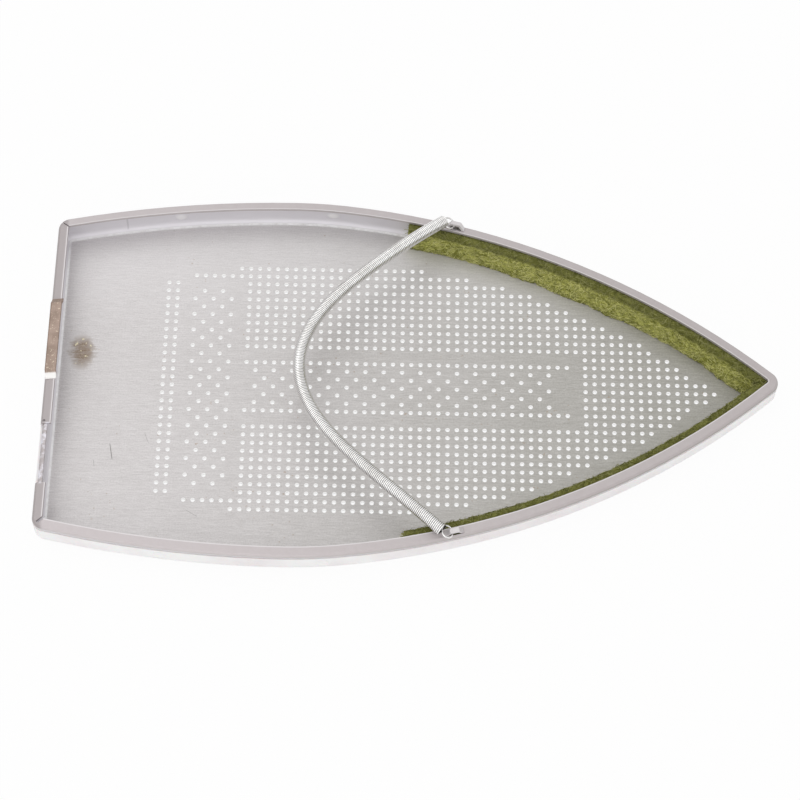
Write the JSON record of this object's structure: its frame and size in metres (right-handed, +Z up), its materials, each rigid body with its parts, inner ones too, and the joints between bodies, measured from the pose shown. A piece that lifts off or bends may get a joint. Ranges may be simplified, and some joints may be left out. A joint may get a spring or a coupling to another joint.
{
  "type": "iron shoe cover",
  "caption": "Perforated aluminium shoe for a steam iron's sole, with a slick white outer skin, felt round the nose and a coil spring that hooks behind the heel.",
  "frame": {"origin": "centre of the footprint, on the face that slides on the cloth", "axes": "+X to the nose, +Y across the sole, +Z up out of the open tray"},
  "size_m": [0.2368, 0.1318, 0.0187],
  "materials": {
    "tray": "mill, used",
    "sole_skin": "satin",
    "felt_strip": "felt",
    "spring": "bright wire",
    "heel_clip": "tarnished"
  },
  "bodies": {
    "shoe": {"tray": "tray", "sole_skin": "sole_skin", "felt_strip": "felt_strip", "heel_clip": "heel_clip"},
    "heel_spring": {"spring": "spring"}
  },
  "joints": [
    {"name": "spring_swing", "type": "hinge", "parent": "shoe", "child": "heel_spring", "pos_m": [0.0133, 0, 0.0119], "axis": [0, 1, 0], "range_deg": [0, 110]}
  ]
}
